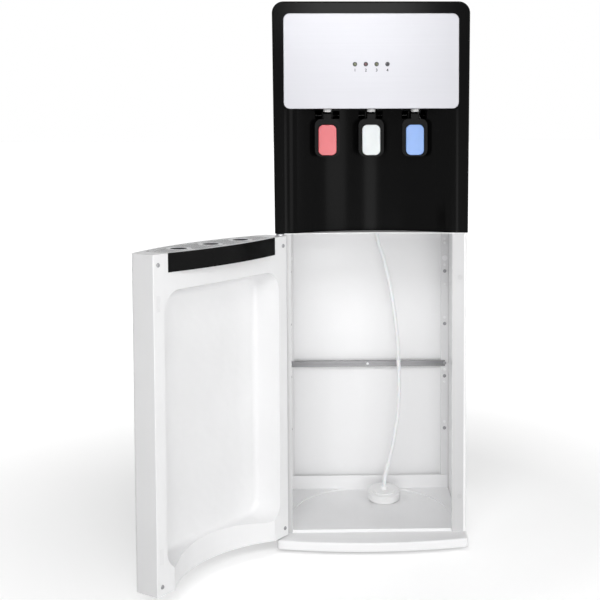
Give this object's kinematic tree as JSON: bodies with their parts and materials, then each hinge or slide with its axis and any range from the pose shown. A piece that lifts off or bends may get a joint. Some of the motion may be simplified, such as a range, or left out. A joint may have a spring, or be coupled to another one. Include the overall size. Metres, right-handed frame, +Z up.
{
  "type": "water cooler",
  "caption": "Tall bottom-load water cooler with push-lever taps in a black head, an open bottle bay with suction hose and cap, and a hinged door carrying a drip tray.",
  "frame": {"origin": "centre of the cabinet's footprint, on the floor", "axes": "+Z up, -Y to the front, where the taps and the door are, +X to the right seen from the front"},
  "size_m": [0.5718, 0.6444, 1],
  "materials": {
    "white_panel": "gloss white moulding",
    "white_sheet": "smooth white coat",
    "black_gloss": "polished black moulding",
    "black_matte": "fine satin",
    "silver_panel": "fine brushed face",
    "steel": "brushed",
    "zinc": "bright zinc plate",
    "grille_grey": "fine satin",
    "pad_red": "glossy",
    "pad_white": "glossy",
    "pad_blue": "glossy",
    "lamp_green": "clear domed lens",
    "lamp_red": "clear domed lens",
    "lamp_dark": "clear domed lens",
    "hose_white": "milky flexible tube",
    "white_satin": "satin",
    "rubber_black": "matte",
    "condenser_black": "satin black coat",
    "compressor_black": "semi-gloss black coat",
    "stainless": "drawn stainless",
    "foam": "closed-cell foam",
    "board_green": "coated laminate",
    "magnet": "ferrite strip",
    "line_white": "silicone tube",
    "copper": "drawn copper tube",
    "rocker_red": "glossy",
    "rocker_green": "glossy"
  },
  "bodies": {
    "cabinet": {"base_plinth": "white_panel", "rubber_feet": "rubber_black", "side_panel_left": "white_sheet", "side_panel_right": "white_sheet", "bay_rear_wall": "white_sheet", "bay_shelf": "white_sheet", "rear_posts": "white_sheet", "cabinet_screws": "zinc", "brace_bar": "steel", "bottle_tray": "white_panel", "strike_plates": "zinc", "top_cover": "black_gloss", "hose_gland": "white_satin", "suction_hose": "hose_white", "bottle_cap": "white_panel", "front_fascia": "black_gloss", "control_panel": "silver_panel", "control_board": "board_green", "lamp_power": "lamp_green", "lamp_heating": "lamp_red", "lamp_cooling": "lamp_green", "lamp_empty": "lamp_dark", "spouts": "white_satin", "tap_valves": "white_satin", "lever_pins": "condenser_black", "lever_springs": "condenser_black", "hinge_upper": "zinc", "hinge_lower": "zinc", "tank_shelf": "zinc", "cold_tank": "stainless", "cold_tank_insulation": "foam", "hot_tank": "stainless", "compressor": "compressor_black", "compressor_grommets": "rubber_black", "water_pump": "black_matte", "water_lines": "line_white", "gas_lines": "copper", "rear_cover": "white_sheet", "switch_housing": "black_matte", "drain_pipe": "stainless", "power_inlet": "rubber_black", "condenser_coil": "condenser_black", "condenser_wires": "condenser_black", "condenser_brackets": "zinc"},
    "door": {"door_shell": "white_panel", "door_liner": "white_panel", "door_screws": "zinc", "door_magnets": "magnet", "hinge_bushes": "white_satin", "drip_basin": "black_gloss"},
    "grille": {"drip_grille": "grille_grey"},
    "lever_hot_body": {"lever_hot": "black_matte", "pad_hot": "pad_red"},
    "lever_room_body": {"lever_room": "black_matte", "pad_room": "pad_white"},
    "lever_cold_body": {"lever_cold": "black_matte", "pad_cold": "pad_blue"},
    "rocker_hot_body": {"rocker_hot": "rocker_red"},
    "rocker_cold_body": {"rocker_cold": "rocker_green"},
    "plug": {"drain_plug": "black_matte"}
  },
  "joints": [
    {"name": "door_hinge", "type": "hinge", "parent": "cabinet", "child": "door", "pos_m": [-0.167, -0.177, 0.3], "axis": [0, 0, 1], "range_deg": [0, 125]},
    {"name": "grille_lift", "type": "slide", "parent": "door", "child": "grille", "axis": [0, 0, 1], "range_m": [0, 0.06]},
    {"name": "lever_hot_push", "type": "hinge", "parent": "cabinet", "child": "lever_hot_body", "pos_m": [-0.08, -0.107, 0.7945], "axis": [1, 0, 0], "range_deg": [0, 5], "stiffness_Nm_per_rad": 0.5, "springref_deg": -5.73},
    {"name": "lever_room_push", "type": "hinge", "parent": "cabinet", "child": "lever_room_body", "pos_m": [0, -0.107, 0.7945], "axis": [1, 0, 0], "range_deg": [0, 5], "stiffness_Nm_per_rad": 0.5, "springref_deg": -5.73},
    {"name": "lever_cold_push", "type": "hinge", "parent": "cabinet", "child": "lever_cold_body", "pos_m": [0.08, -0.107, 0.7945], "axis": [1, 0, 0], "range_deg": [0, 5], "stiffness_Nm_per_rad": 0.5, "springref_deg": -5.73},
    {"name": "rocker_hot_tip", "type": "hinge", "parent": "cabinet", "child": "rocker_hot_body", "pos_m": [-0.128, 0.1625, 0.69], "axis": [1, 0, 0], "range_deg": [0, 16]},
    {"name": "rocker_cold_tip", "type": "hinge", "parent": "cabinet", "child": "rocker_cold_body", "pos_m": [-0.098, 0.1625, 0.69], "axis": [1, 0, 0], "range_deg": [0, 16]},
    {"name": "drain_plug_pull", "type": "slide", "parent": "cabinet", "child": "plug", "axis": [0, 1, 0], "range_m": [0, 0.02]}
  ]
}
